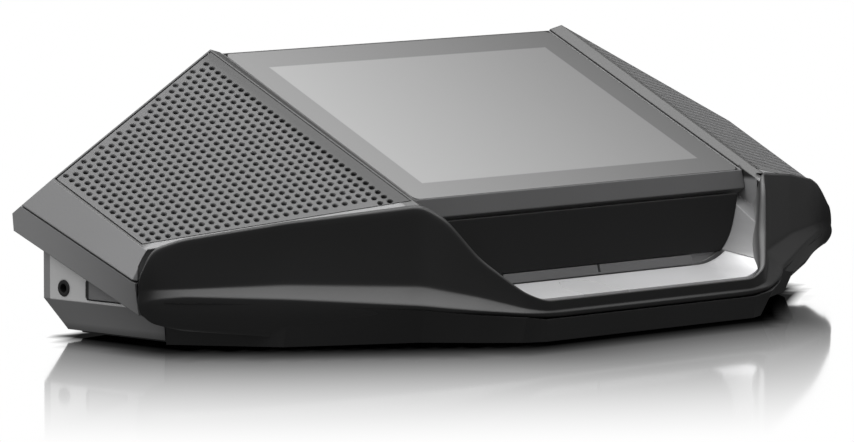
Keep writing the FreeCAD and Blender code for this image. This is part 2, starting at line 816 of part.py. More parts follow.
lower_outline = lower_space(0, mm("lower_edge_z"), False)
lower = lower_outline.cut(lower_space(wall, -REACH, True))
panel_inner = mm("panel_half") - wall
pin_x = mm("panel_half") + mm("rocker_proud") - mm("rocker_pin_setback")
lug_rise = mm("rocker_height") / 2 + mm("rocker_gap")
floor_top = mm("floor_z") + mm("floor_thick")
boss_spots = [(mm("boss_x"), mm("boss_front_y")), (mm("boss_x"), mm("boss_rear_y"))]
for x, y in boss_spots:
    half = mm("boss_width") / 2
    boss = block(Vector(x - half, y - half, floor_top),
                 Vector(mm("panel_half"), y + half, floor_top + mm("boss_height")))
    lower = lower.fuse(boss.common(lower_outline))
    lower = lower.cut(Part.makeCylinder(mm("screw_radius") + mm("screw_ease"), mm("boss_height"),
                                        Vector(x, y, floor_top)))
lug_half = mm("lug_length") / 2
for way in (-1, 1):
    near = mm("rocker_z") + way * lug_rise
    far = near + way * mm("lug_thick")
    lug = block(Vector(panel_inner - mm("lug_depth"), mm("rocker_y") - lug_half, min(near, far)),
                Vector(mm("panel_half") - wall / 2, mm("rocker_y") + lug_half, max(near, far)))
    lower = lower.fuse(lug.common(lower_outline))
pin_length = 2 * (lug_rise + mm("lug_thick"))
pin_foot = mm("rocker_z") - pin_length / 2
lower = lower.cut(Part.makeCylinder(mm("rocker_pin_radius") + mm("screw_ease"), pin_length,
                                    Vector(pin_x, mm("rocker_y"), pin_foot)))
rocker_middle = Vector(mm("panel_half"), mm("rocker_y"), mm("rocker_z"))
rocker_room = Vector(0, mm("rocker_length") / 2 + mm("rocker_gap"), lug_rise)
lower = lower.cut(block(rocker_middle - rocker_room - ACROSS * (wall + clear),
                        rocker_middle + rocker_room + ACROSS * (mm("rocker_proud") + wall)))
lower = lower.cut(Part.makeCylinder(mm("jack_barrel") / 2 + mm("screw_ease"), mm("tip_half"),
                                    Vector(panel_inner - wall, mm("jack_y"), mm("jack_z")), ACROSS))
socket_half = mm("socket_width") / 2 + clear
socket_x = mm("socket_spacing") / 2
socket_foot = mm("board_z") + mm("board_thick")
socket_top = socket_foot + mm("socket_height")
lower = lower.cut(block(Vector(socket_x - socket_half, mm("board_rear_y"), socket_foot - clear),
                        Vector(socket_x + socket_half, REACH, socket_top + clear)))
lower = trim(lower.cut(bumper_space).cut(skirt_space).cut(before_skirt_end), moved(nose_face, -clear))
lower = max(lower.Solids, key=lambda piece: piece.Volume)
node(sculpted("lower_housing", both(lower)), "lower_housing")

# Bottom cover: floor, leaning front skirt, posts for the boards and sleeves for the talk key

front_line = [spot["place"] - spot["outward"] * spot["inset"] for spot in skirt_stations]
floor_corners = front_line + [Vector(tip.x, rear_corner.y, 0), Vector(0, rear_corner.y, 0)]
floor_corners = [Vector(spot.x, spot.y, mm("floor_z")) for spot in floor_corners]
floor = Part.Face(Part.makePolygon(floor_corners + floor_corners[:1])).extrude(UP * mm("floor_thick"))
floor_corner = trim(floor, skirt_end_plane, (wing_rear, Vector(0, 1, 0)))
floor = trim(floor, *[moved(plane, -wall - clear) for plane in [chamfer, panel_rear] + back_facets])
key_post = Vector(mm("key_post_x"), mm("key_post_y"), 0)
sleeve_bore = mm("key_post_radius") + clear
key_post_rise = mm("sleeve_top_z") - floor_top
standoff_x = mm("board_width") / 2 - mm("standoff_edge")
standoff_y = [mm("board_front_y") + mm("standoff_edge"), mm("board_rear_y") - mm("standoff_edge")]
board_spots = [(standoff_x, y) for y in standoff_y]
key_board_x = mm("key_board_width") / 2 - mm("standoff_radius")
skirt = trim(along_front(skirt_section, skirt_stations, 0), (Vector(), ACROSS * -1))
cover = floor.fuse(floor_corner).fuse(skirt)
sleeve_foot = key_post + UP * floor_top
cover = cover.fuse(Part.makeCylinder(sleeve_bore + mm("sleeve_wall"), key_post_rise, sleeve_foot))
cover = cover.cut(Part.makeCylinder(sleeve_bore, key_post_rise, sleeve_foot))
for x, y in board_spots:
    cover = cover.fuse(Part.makeCylinder(mm("standoff_radius"), mm("board_z") - floor_top,
                                         Vector(x, y, floor_top)))
    cover = cover.cut(Part.makeCylinder(mm("screw_radius") + mm("screw_ease"), mm("screw_grip"),
                                        Vector(x, y, mm("board_z") - mm("screw_grip"))))
cover = cover.fuse(Part.makeCylinder(mm("standoff_radius"), mm("key_board_z") - floor_top,
                                     Vector(key_board_x, mm("key_post_y"), floor_top)))
foot_spots = [(mm("foot_front_x"), mm("foot_front_y")), (mm("foot_rear_x"), mm("foot_rear_y"))]
for x, y in foot_spots:
    cover = cover.cut(Part.makeCylinder(mm("foot_radius") + clear, mm("foot_sink"),
                                        Vector(x, y, mm("floor_z"))))
for x, y in boss_spots:
    cover = cover.cut(Part.makeCylinder(mm("screw_head_radius") + clear, mm("screw_head"),
                                        Vector(x, y, mm("floor_z"))))
    cover = cover.cut(Part.makeCylinder(mm("screw_radius") + clear, mm("floor_thick"),
                                        Vector(x, y, mm("floor_z"))))
node(sculpted("bottom_cover", both(cover)), "bottom_cover")

# Talk key: a sheet that lines the trough, with two guide posts and a nub over its switch

key_rear = depth_on(moved(fascia_front, mm("key_gap")), light_bar_foot)
key_front = mm("lip_y") + mm("bumper_wall") + mm("key_gap")
key_inset = -mm("bumper_wall") - mm("key_gap")
lip_face = facet(lip_end, cheek_low, lip_end + UP, inside)
key = trough(mm("key_thick")).cut(trough(0)).common(
    block(Vector(0, key_front, 0), Vector(mm("key_half"), key_rear, REACH)))
key = trim(key, moved(cheek_face, key_inset), moved(lip_face, key_inset))
key_under = trough_height(0, mm("key_post_y")) - mm("key_thick")
post_rise = key_under - mm("key_post_foot_z") + mm("key_thick") / 2
key = key.fuse(Part.makeCylinder(mm("key_post_radius"), post_rise, key_post + UP * mm("key_post_foot_z")))
key_switch_top = mm("key_board_z") + mm("board_thick") + mm("key_switch_height")
nub_foot = key_switch_top + mm("key_travel") + clear
nub = Part.makeCylinder(mm("key_nub_radius"), key_under - nub_foot + mm("key_thick") / 2,
                        Vector(0, mm("key_post_y"), nub_foot))
node(sculpted("talk_key", both(key).fuse(nub).removeSplitter()), "talk_key")

# Fascia and light bar: both fill the trough's section in front of the housing's wall

trough_fit = trim(trough(-clear), fascia_front, flipped(fascia_back))
fascia = trim(trough_fit, (fascia_edge, UP), (UP * (light_bar_top + clear), UP * -1))
node(sculpted("fascia", fascia), "fascia")
light_bar = trough_fit.common(block(Vector(-mm("light_bar_half"), -REACH, light_bar_foot),
                                    Vector(mm("light_bar_half"), REACH, light_bar_top)))
slot_half = mm("slot_width") / 2
light_bar = light_bar.cut(block(Vector(-slot_half, -REACH, light_bar_foot + mm("slot_width") / 2),
                                Vector(slot_half, REACH, light_bar_top)))
node(sculpted("light_bar", light_bar), "light_bar")

# Grilles and the felt under them

pair("grille", sculpted("grille_sheet", grille_slab(mm("grille_inset"), 0, mm("grille_thick"))))
felt_slab = grille_slab(mm("grille_inset") + wall, mm("grille_thick"), pocket_depth)
pair("dust_felt", sculpted("felt_sheet", felt_slab))

# Screen: frame, cover glass and lit panel, drawn flat and tilted into place

glass_left = "-display_width / 2 - glass_side"
glass_right = "display_width / 2 + glass_side"
glass_top = "display_height + glass_rear"
panel_left = "-display_width / 2 - panel_border"
panel_right = "display_width / 2 + panel_border"
panel_top = "display_height + panel_border"
glass = padded("touch_glass", "XY_Plane", rectangle(glass_left, "-glass_front", glass_right, glass_top),
               "glass_thick")
round_corners(glass, "glass_thick", "glass_corner")
node(glass, "touch_glass").Placement = screen_place

panel = padded("display_panel", "XY_Plane", rectangle(panel_left, "-panel_border", panel_right, panel_top),
               "panel_thick")
panel_seat = on_screen(0, 0, -mm("glass_thick"))
node(panel, "display_panel").Placement = Placement(panel_seat, screen_place.Rotation)

frame_front = "-glass_front - frame_margin / 2"
frame_rear = "display_height + glass_rear + frame_margin / 2"
frame = padded("frame_blank", "YZ_Plane", [
    (frame_front, "0"),
    (frame_rear, "0"),
    (frame_rear, "-frame_depth"),
    (frame_front + " - frame_nose_run + frame_heel_run", "-frame_depth"),
    (frame_front + " - frame_nose_run", "-frame_nose_drop"),
], "display_width + 2 * glass_side + 2 * frame_margin", both_ways=True)
ease = " + fit_gap"
slack = " - fit_gap"
pocketed(frame, "glass_seat", rectangle(glass_left + slack, "-glass_front" + slack, glass_right + ease,
                                        glass_top + ease), "glass_thick")
pocketed(frame, "panel_window", rectangle(panel_left + slack, "-panel_border" + slack, panel_right + ease,
                                          panel_top + ease), "frame_depth")
screw_across = "display_width / 2 + panel_border + (glass_side + frame_margin - panel_border) / 2"
frame_holes = []
for side in ("", "-"):
    for height in ("screen_screw_low", "screen_screw_high"):
        spot = (side + "(" + screw_across + ")", height, "-frame_depth")
        frame_holes.append(rod("frame_hole", "screw_radius + screw_ease", "screw_grip", spot))
frame = cut("drilled_frame", frame, group("frame_holes", frame_holes))
node(frame, "screen_frame").Placement = screen_place

# Speakers: gasket, basket, cone and magnet turned about their own axis under the baffle


def drilled(name, body):
    """A speaker ring with its four screw holes, set under the baffle."""
    depth = "gasket_thick + flange_thick"
    radius = "small_screw_radius + screw_ease"
    holes = [rod(name + "_hole", radius, depth, (str(x), str(y), "-gasket_thick - flange_thick"))
             for x, y in speaker_screw_spots()]
    ring = cut(name, body, group(name + "_holes", holes))
    ring.Placement = speaker_place
    return ring


gasket = revolved("gasket_ring", rectangle("cone_radius + fit_gap", "-gasket_thick", "flange_radius", "0"))
pair("speaker_gasket", drilled("drilled_gasket", gasket))
basket = revolved("basket_shell", [
    ("flange_radius", "-gasket_thick"),
    ("flange_radius", "-gasket_thick - flange_thick"),
    ("cone_radius + 2 * basket_skin", "-gasket_thick - flange_thick"),
    ("basket_back + basket_skin", "-basket_depth + basket_skin"),
    ("basket_back + basket_skin", "-basket_depth"),
    ("basket_back / 2", "-basket_depth"),
    ("basket_back / 2", "-basket_depth + basket_skin"),
    ("basket_back", "-basket_depth + basket_skin"),
    ("cone_radius + fit_gap", "-gasket_thick - flange_thick"),
    ("cone_radius + fit_gap", "-gasket_thick"),
])
pair("speaker_basket", drilled("drilled_basket", basket))
cone = revolved("cone_shell", [
    ("cone_radius", "-gasket_thick"),
    ("cone_radius", "-gasket_thick - cone_skin"),
    ("cap_radius", "-cone_depth - cone_skin"),
    ("0", "-cone_depth - cone_skin"),
    ("0", "-cone_depth + cap_rise"),
    ("cap_radius", "-cone_depth"),
])
cone.Placement = speaker_place
pair("speaker_cone", cone)
magnet = revolved("magnet_disc", rectangle("0", "-basket_depth - magnet_length", "magnet_radius",
                                           "-basket_depth"))
magnet.Placement = speaker_place
pair("speaker_magnet", magnet)

# Screws: each place is under the head, with its own Z along the shank


def screw(name, kind, length, place):
    """Pan-head screw of one of the two kinds."""
    shank = doc.addObject("Part::Cylinder", name + "_shank")
    bind(shank, "Radius", kind + "_radius")
    bind(shank, "Height", length)
    shank.Placement = place
    head = doc.addObject("Part::Cylinder", name + "_head")
    bind(head, "Radius", kind + "_head_radius")
    bind(head, "Height", kind + "_head")
    head.Placement = place.multiply(Placement(Vector(0, 0, -mm(kind + "_head")), Rotation()))
    return fuse(name, head, shank)


def both_sides(name, pieces):
    """Node with the right-hand pieces and their left-hand twins."""
    right = group(name + "_right", pieces)
    return node(group(name, [right, opposite(name + "_left", right)]), name)


downwards = Rotation(ACROSS, 180)
flange_foot = -mm("gasket_thick") - mm("flange_thick")
both_sides("speaker_screws", [
    screw("speaker_screw", "small_screw", "gasket_thick + flange_thick + small_screw_grip",
          speaker_place.multiply(Placement(Vector(x, y, flange_foot), Rotation())))
    for x, y in speaker_screw_spots()
])
both_sides("screen_screws", [
    screw("screen_screw", "screw", "wall + screw_grip",
          Placement(on_screen(x, v, -mm("frame_depth") - wall), screen_place.Rotation))
    for x, v in screen_screw_spots
])
both_sides("board_screws", [
    screw("board_screw", "screw", "board_thick + screw_grip",
          Placement(Vector(x, y, socket_foot), downwards))
    for x, y in board_spots
])
both_sides("base_screws", [
    screw("base_screw", "screw", "floor_thick - screw_head + screw_grip",
          Placement(Vector(x, y, mm("floor_z") + mm("screw_head")), Rotation()))
    for x, y in boss_spots
])
both_sides("rubber_feet", [
    rod("rubber_foot", "foot_radius", "floor_z + foot_sink", (x, y, "0"))
    for x, y in (("foot_front_x", "foot_front_y"), ("foot_rear_x", "foot_rear_y"))
])

# Main board with its shield can and network sockets, and the small board under the talk key

board_across = "(board_width / 2 - standoff_edge)"
board_holes = [
    rod("board_hole", "screw_radius + fit_gap", "board_thick", (side + board_across, y, "board_z"))
    for side in ("", "-") for y in ("board_front_y + standoff_edge", "board_rear_y - standoff_edge")
]
board_blank = box("board_blank", ("board_width", "board_rear_y - board_front_y", "board_thick"),
                  ("0", "(board_front_y + board_rear_y) / 2", "board_z"))
node(cut("main_board", board_blank, group("board_holes", board_holes)), "main_board")
node(box("shield_can", ("can_side", "can_side", "can_height"), ("0", "can_y", "board_z + board_thick")),
     "shield_can")
socket_block = box("socket_block", ("socket_width", "socket_length", "socket_height"),
                   ("socket_spacing / 2", "rear_y - socket_inset - socket_length / 2",
                    "board_z + board_thick"))
socket_mouth = box("socket_mouth", ("socket_mouth_width", "socket_mouth_depth", "socket_mouth_height"),
                   ("socket_spacing / 2", "rear_y - socket_inset - socket_mouth_depth / 2",
                    "board_z + board_thick + (socket_height - socket_mouth_height) / 2"))
pair("network_socket", cut("network_socket", socket_block, socket_mouth))
node(box("key_board", ("key_board_width", "key_board_depth", "board_thick"),
         ("0", "key_post_y", "key_board_z")), "key_board")
node(box("key_switch", ("key_switch_side", "key_switch_side", "key_switch_height"),
         ("0", "key_post_y", "key_board_z + board_thick")), "key_switch")
capsule = doc.addObject("Part::Cylinder", "capsule")
bind(capsule, "Radius", "capsule_radius")
bind(capsule, "Height", "capsule_length")
capsule.Placement = Placement(capsule_seat, Rotation(UP, inward))
node(capsule, "microphone_capsule")

# Side sockets and volume rockers

side_board_x = "panel_half - side_board_setback"
jack_length = "side_board_setback - wall - jack_setback"
jack_body = box("jack_body", (jack_length, "jack_width", "jack_height"),
                (side_board_x + " + (" + jack_length + ") / 2", "jack_y", "jack_z - jack_height / 2"))
jack_barrel = rod("jack_barrel", "jack_barrel / 2", "side_board_setback + jack_proud",
                  (side_board_x, "jack_y", "jack_z"), ACROSS)
jack_bore = rod("jack_bore", "jack_bore / 2", "jack_depth",
                ("panel_half + jack_proud - jack_depth", "jack_y", "jack_z"), ACROSS)
pair("headphone_jack", cut("headphone_jack", fuse("jack_shell", jack_body, jack_barrel), jack_bore))
side_board_rear = "(jack_y + jack_width / 2 + side_board_edge)"
side_board_front = "(rocker_y - (volume_switch_spread + volume_switch_side) / 2 - side_board_edge)"
pair("jack_board", box("jack_board", ("board_thick", side_board_rear + " - " + side_board_front,
                                      "side_board_height"),
                       (side_board_x + " - board_thick / 2",
                        "(" + side_board_rear + " + " + side_board_front + ") / 2",
                        "jack_z - side_board_height / 2")))
switch_length = "side_board_setback + rocker_proud - rocker_depth - volume_switch_gap"
volume_switches = [
    box("volume_switch", (switch_length, "volume_switch_side", "volume_switch_side"),
        (side_board_x + " + (" + switch_length + ") / 2", "rocker_y" + way + "volume_switch_spread / 2",
         "rocker_z - volume_switch_side / 2"))
    for way in (" - ", " + ")
]
pair("volume_switches", group("volume_switches", volume_switches))
rocker = padded("rocker_cap", "YZ_Plane", rectangle("-rocker_length / 2", "-rocker_height / 2",
                                                    "rocker_length / 2", "rocker_height / 2"), "rocker_depth")
round_corners(rocker, "rocker_depth", "rocker_round")
for prop, formula in zip("xyz", ("panel_half + rocker_proud", "rocker_y", "rocker_z")):
    bind(rocker, "Placement.Base." + prop, formula)
pin_at = ("panel_half + rocker_proud - rocker_pin_setback", "rocker_y", "rocker_z - rocker_height / 2")
rocker_bore = rod("rocker_bore", "rocker_pin_radius + fit_gap", "rocker_height", pin_at)
pair("volume_rocker", cut("volume_rocker", rocker, rocker_bore))
pair("rocker_pin", rod("rocker_pin", "rocker_pin_radius", "rocker_height + 2 * rocker_gap + 2 * lug_thick",
                       pin_at[:2] + (pin_at[2] + " - rocker_gap - lug_thick",)))

# Check every object and write the pieces

doc.recompute()
failed = [item.Name for item in doc.Objects if {"Invalid", "Error"} & set(item.State)]
assert not failed, "failed: " + ", ".join(failed)
for piece in nodes:
    assert not piece.Shape.isNull() and piece.Shape.isValid(), piece.Label + " is not a valid shape"
os.makedirs("parts", exist_ok=True)
for piece in nodes:
    piece.Shape.exportStep("parts/%s.step" % piece.Label)
    print("%-24s %2d solids %10.1f mm3" % (piece.Label, len(piece.Shape.Solids), piece.Shape.Volume))
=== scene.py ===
# %% [markdown]
# # A tabletop conference unit, drawn as surfaces
#
# The unit stands on a conference table: a tilted touch screen between two loudspeaker wings, a wide talk
# key in a trough below the screen, and a black bumper round the front. The packed solids hold its shells,
# screen, key, rockers and sockets, each in its place, and this lesson dresses them. Three pieces are drawn
# anew, because their solids are plainer than the real ones: the softly curved bumper and the two
# perforated grilles. All other pieces keep their solids and get a material built from nodes. Sizes of the
# unit are written in millimetres, and MM turns them into the metres that meshes and nodes take. Only the
# studio's lamps and camera are placed in metres.

import bpy
import numpy as np
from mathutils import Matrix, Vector
from mathutils.geometry import convex_hull_2d, delaunay_2d_cdt


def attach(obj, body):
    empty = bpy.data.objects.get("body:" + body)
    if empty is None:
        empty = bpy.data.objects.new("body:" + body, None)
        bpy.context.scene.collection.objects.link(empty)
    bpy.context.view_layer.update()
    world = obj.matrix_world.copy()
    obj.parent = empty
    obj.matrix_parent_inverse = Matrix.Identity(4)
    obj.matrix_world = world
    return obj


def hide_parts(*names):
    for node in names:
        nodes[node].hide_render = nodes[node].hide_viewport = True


MM = 0.001
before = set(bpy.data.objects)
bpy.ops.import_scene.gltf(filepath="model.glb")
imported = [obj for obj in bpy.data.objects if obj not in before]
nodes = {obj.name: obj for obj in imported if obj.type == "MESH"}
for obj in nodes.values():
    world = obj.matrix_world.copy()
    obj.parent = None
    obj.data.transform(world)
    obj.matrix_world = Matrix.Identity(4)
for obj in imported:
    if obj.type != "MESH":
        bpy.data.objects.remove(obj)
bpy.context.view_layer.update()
scene = bpy.context.scene
scene.view_settings.view_transform = "Standard"

# %% [markdown]
# ## Making meshes
#
# The bumper and the floor are surfaces: grids of points, with one direction along the piece and one across
# it, where every cell of the grid becomes a four-sided face. Such a mesh could be modelled by hand or
# grown with modifiers. Worked out as whole arrays it follows from a few numbers, and it is the same at
# every run. No loop walks over the points: the faces come from one array of indices, shifted by a row and
# by a column.

# %% Meshes from grids


def mesh(name, points, faces, smooth):
    """Mesh object from points in millimetres and a list of faces, each a list of point numbers."""
    data = bpy.data.meshes.new(name)
    data.from_pydata((points * MM).tolist(), [], faces)
    data.polygons.foreach_set("use_smooth", np.full(len(data.polygons), smooth))
    data.update()
    made = bpy.data.objects.new(name, data)
    scene.collection.objects.link(made)
    return made


def cells(rows, columns):
    """Faces of a grid: each point, the next one along, the next along and across, and the next across."""
    index = np.arange(rows * columns).reshape(rows, columns)
    corners = (index[:-1, :-1], index[1:, :-1], index[1:, 1:], index[:-1, 1:])
    return np.stack(corners, axis=-1).reshape(-1, 4)


def surface(name, grid):
    """Smooth mesh object from a grid of points, rows by columns by three."""
    rows, columns = grid.shape[:2]
    return mesh(name, grid.reshape(-1, 3), cells(rows, columns).tolist(), smooth=True)


print("a grid of 3 by 4 points has", len(cells(3, 4)), "faces")

# %% [markdown]
# ## Materials
#
# Nearly everything on the outside is moulded plastic with a satin finish. One flat colour would look like
# paper, and a painted texture would need an image and a way to wrap it. Nodes work the finish out from a
# point's place instead, so it never stretches. Two small classes keep the wiring of the nodes short: the
# first adds and joins nodes, the second does sums with them.

# %% Wiring of nodes


class Wiring:
    """The nodes of a finish or of the room, with short ways to add a node and to join sockets."""

    def __init__(self, owner, shader):
        owner.use_nodes = True
        self.owner = owner
        self.tree = owner.node_tree
        self.shader = self.tree.nodes[shader]

    def join(self, value, socket):
        """Link a socket to a socket, or set a constant."""
        if isinstance(value, bpy.types.NodeSocket):
            self.tree.links.new(value, socket)
        else:
            socket.default_value = value

    def add(self, kind, inputs=(), **settings):
        """New node with its settings; inputs maps a socket to a value or to another node's socket."""
        made = self.tree.nodes.new("ShaderNode" + kind)
        for key, value in settings.items():
            setattr(made, key, value)
        for key, value in dict(inputs).items():
            self.join(value, made.inputs[key])
        return made

    def shade(self, **inputs):
        """Set or link sockets of the main shader, named with underscores for spaces."""
        for key, value in inputs.items():
            self.join(value, self.shader.inputs[key.replace("_", " ")])


print("wiring can", ", ".join(name for name in vars(Wiring) if not name.startswith("_")))

# %% Sums with nodes


class Recipe(Wiring):
    """Wiring that can calculate: shares between 0 and 1, colours between two colours, a point's place."""

    def math(self, operation, first, second=0.0):
        """Result of a math node."""
        return self.add("Math", {0: first, 1: second}, operation=operation).outputs[0]

    def times(self, first, second):
        """Product of two numbers; of two shares, the share where both hold."""
        return self.math("MULTIPLY", first, second)

    def opposite(self, share):
        """One minus a share."""
        return self.math("SUBTRACT", 1.0, share)

    def ramp(self, value, low, high):
        """0 below the first limit, 1 above the second, eased between."""
        inputs = {"Value": value, "From Min": low, "From Max": high}
        return self.add("MapRange", inputs, interpolation_type="SMOOTHSTEP").outputs[0]

    def past(self, place, low, high):
        """Ramp of a place between two limits in millimetres."""
        return self.ramp(place, low * MM, high * MM)

    def between(self, share, first, second):
        """Number between two numbers: the first, plus the share times the step to the second."""
        return self.add("MapRange", {"Value": share, "To Min": first, "To Max": second}).outputs[0]

    def mix(self, share, first, second):
        """Colour between two colours; a mix node's colour sockets are inputs 6 and 7 and output 2."""
        made = self.add("Mix", {"Factor": share}, data_type="RGBA")
        self.join(first, made.inputs[6])
        self.join(second, made.inputs[7])
        return made.outputs[2]

    def spot(self):
        """The point's place in metres, as one socket."""
        return self.add("TexCoord").outputs["Object"]

    def place(self):
        """The point's place in metres, as three sockets x, y and z."""
        return tuple(self.add("SeparateXYZ", {0: self.spot()}).outputs)


print("a recipe can", ", ".join(name for name in vars(Recipe) if not name.startswith("_")))

# %% [markdown]
# ## Moulded plastic
#
# One recipe serves every plastic of the unit. A mould leaves a fine grain, the colour and the gloss drift
# a little over a large part, and no edge is perfectly sharp. Slow noise gives the drift and fine noise
# bends the normal for the grain. A bevel node rounds the look of the edges: real bevels would do so too,
# but the solids are never changed. Greys are written as they look on a screen and turned into linear
# light.

# %% Moulded plastic
SCREEN_OFFSET = 0.055
SCREEN_POWER = 2.4
DRIFT_SCALE = 14.0
NOISE_DETAIL = 2.0
COLOUR_DRIFT = 0.06
COOL_TINT = 0.02
ROUGH_DRIFT = 0.04
GRAIN_HEIGHT = 0.2
EDGE_SAMPLES = 6


def grey(level, tint=0.0):
    """Linear grey from its level on a screen, by the screen's power curve, with a slight cool tint."""
    linear = ((level + SCREEN_OFFSET) / (1 + SCREEN_OFFSET)) ** SCREEN_POWER
    return (linear, linear, linear * (1 + tint), 1.0)


def material(name):
    """New material with an empty recipe."""
    return Recipe(bpy.data.materials.new(name), "Principled BSDF")


def plastic(name, level, rough, grain=0.1, edge=0.4, scale=900.0):
    """Plastic of a grey level: slow noise moves its colour and its roughness up and down, fine noise of a
    scale per metre makes the grain, and edges look rounded by a radius in millimetres."""
    made = material(name)
    spot = made.spot()
    slow = made.add("TexNoise", {"Vector": spot, "Scale": DRIFT_SCALE, "Detail": NOISE_DETAIL}).outputs[0]
    fine = made.add("TexNoise", {"Vector": spot, "Scale": scale, "Detail": NOISE_DETAIL}).outputs[0]
    darker = grey(level * (1 - COLOUR_DRIFT))
    lighter = grey(level * (1 + COLOUR_DRIFT), COOL_TINT)
    rounded = made.add("Bevel", {"Radius": edge * MM}, samples=EDGE_SAMPLES).outputs[0]
    relief = {"Strength": grain, "Distance": GRAIN_HEIGHT * MM, "Height": fine, "Normal": rounded}
    made.shade(Base_Color=made.mix(slow, darker, lighter),
               Roughness=made.between(slow, rough - ROUGH_DRIFT, rough + ROUGH_DRIFT),
               Normal=made.add("Bump", relief).outputs[0])
    return made


print("half grey on a screen is", round(grey(0.5)[0], 3), "in linear light")

# %% Dressing solids


def tinted(made, share, level):
    """Mix a finish's colour towards another grey level by a share between 0 and 1."""
    first = made.shader.inputs["Base Color"].links[0].from_socket
    made.shade(Base_Color=made.mix(share, first, grey(level)))


def dress(made, *names):
    """Give one finish to CAD nodes."""
    for name in names:
        slots = nodes[name].data.materials
        slots.clear()
        slots.append(made.owner)


def both(name):
    """Left and right names of a paired node."""
    return "left_" + name, "right_" + name


print("a pair:", *both("grille"))

# %% [markdown]
# ## The upper shell
#
# The upper shell is one satin grey moulding: both wings, the ridges beside the screen and the side walls
# of the trough. The floor of the trough is silver. The ridges, the slope behind the screen and the rim
# round the rear of the grilles are nearly black. Each zone could be a mesh of its own, but the solid is
# one moulding and stays whole, so the point's place and the way its face points pick the colour.

# %% Upper shell
TROUGH_BACK = (-47.5, -46.5)
TROUGH_TOP = (21.0, 25.0)
UPWARD = (0.7, 0.8)
RIM_START = (0.0, 2.0)
RIDGE_SIDE = (98.5, 99.5)
RIDGE_FOOT = (50.0, 52.0)

shell = plastic("shell_plastic", level=0.51, rough=0.42, grain=0.15, edge=0.7)
x, y, z = shell.place()
normal = shell.add("TexCoord").outputs["Normal"]
facing_up = shell.ramp(shell.add("SeparateXYZ", {0: normal}).outputs[2], *UPWARD)
in_front = shell.opposite(shell.past(y, *TROUGH_BACK))
below = shell.opposite(shell.past(z, *TROUGH_TOP))
tinted(shell, shell.times(facing_up, shell.times(in_front, below)), level=0.80)
on_rim = shell.times(facing_up, shell.past(y, *RIM_START))
inside = shell.opposite(shell.past(shell.math("ABSOLUTE", x), *RIDGE_SIDE))
on_ridge = shell.times(inside, shell.past(z, *RIDGE_FOOT))
tinted(shell, shell.math("MAXIMUM", on_rim, on_ridge), level=0.14)
dress(shell, "upper_housing")
print("upper shell dressed with", len(shell.tree.nodes), "nodes")

# %% [markdown]
# ## The lower shell and its rockers
#
# The lower shell stands back under the wings and carries a socket and a volume rocker in a panel at each
# side. It is grey, with painted shade that makes it darker towards the user, and the panels get painted
# light
# that makes them lighter: they are all points at the panel's distance from the middle. Under the overhang
# the corners are dark with painted shade. The bright floor would fill them with light, so an occlusion node,
# which measures how much of its surroundings a point sees, darkens them. A rocker is a grey cap with a rear
# end painted dark, as painted shade for the gap behind it, and its solid tells where that end is.

# %% Lower shell
PAINTED_SHADE_RUN = (-30.0, 60.0)
PANEL_HALF = 178.0
PANEL_SLACK = 0.3
PANEL_REAR = 60.5
CORNER_REACH = 6.0
CORNER_SAMPLES = 8
CORNER_SHADE_SHARE = 0.8

side_grey = plastic("side_grey_plastic", level=0.52, rough=0.45, grain=0.15, edge=0.5)
x, y, _ = side_grey.place()
# Painted shade: the grey darkens towards the user, on the front where less light falls.
tinted(side_grey, side_grey.opposite(side_grey.past(y, *PAINTED_SHADE_RUN)), level=0.34)
# Painted light: the side panels are made lighter, for the light from the left that falls on them.
off_panel = side_grey.math("SUBTRACT", side_grey.math("ABSOLUTE", x), PANEL_HALF * MM)
lit_panel = side_grey.math("LESS_THAN", side_grey.math("ABSOLUTE", off_panel), PANEL_SLACK * MM)
in_front = side_grey.math("LESS_THAN", y, PANEL_REAR * MM)
tinted(side_grey, side_grey.times(lit_panel, in_front), level=0.74)
# Painted shade: an occlusion node darkens the corners under the overhang.
corner = side_grey.add("AmbientOcclusion", {"Distance": CORNER_REACH * MM}, samples=CORNER_SAMPLES)
corner_shade = side_grey.opposite(corner.outputs["AO"])
tinted(side_grey, side_grey.times(corner_shade, CORNER_SHADE_SHARE), level=0.10)
dress(side_grey, "lower_housing")
print("lower shell dressed with", len(side_grey.tree.nodes), "nodes")

# %% Rockers
ROCKER_GAP_SHADE = (2.2, 1.4)


def cad_points(name):
    """Vertices of a CAD node in millimetres."""
    data = nodes[name].data
    points = np.zeros(len(data.vertices) * 3)
    data.vertices.foreach_get("co", points)
    return points.reshape(-1, 3) / MM


rocker_grey = plastic("rocker_grey_plastic", level=0.43, rough=0.35, edge=0.8)
rear = float(cad_points("left_volume_rocker")[:, 1].max())
rocker_y = rocker_grey.place()[1]
# Painted shade: the rocker's rear end is darkened, for the shade in the gap behind it.
tinted(rocker_grey, rocker_grey.past(rocker_y, rear - ROCKER_GAP_SHADE[0], rear - ROCKER_GAP_SHADE[1]), level=0.16)
dress(rocker_grey, *both("volume_rocker"))
print("rockers end at y", round(rear, 2), "mm")

# %% [markdown]
# ## The black panels and the screen's frame
#
# A matt black fascia closes the front under the screen, and the bottom cover shows a matt black skirt
# below the bumper. The skirt's black is lighter than the fascia's: painted light, for the light that falls
# on it. Black plastic shows its gloss more than its colour, so making it darker would not make it look
# matt: a rough surface and a low specular level do. The frame that carries the glass is a thin grey line
# round it.

# %% Black panels and screen frame
MATT_SPECULAR = 0.15

matt_black = plastic("matt_black_plastic", level=0.115, rough=0.55, grain=0.15, edge=0.8)
# Painted light: the skirt is the fascia's matt black made lighter, for the light that falls on it.
lit_skirt_black = plastic("skirt_black_plastic", level=0.17, rough=0.55, grain=0.15, edge=0.8)
for made in (matt_black, lit_skirt_black):
    made.shade(Specular_IOR_Level=MATT_SPECULAR)
frame_grey = plastic("frame_grey_plastic", level=0.42, rough=0.38, grain=0.12, edge=0.8)
dress(matt_black, "fascia")
dress(lit_skirt_black, "bottom_cover")
dress(frame_grey, "screen_frame")
print("fascia, skirt and screen frame dressed")

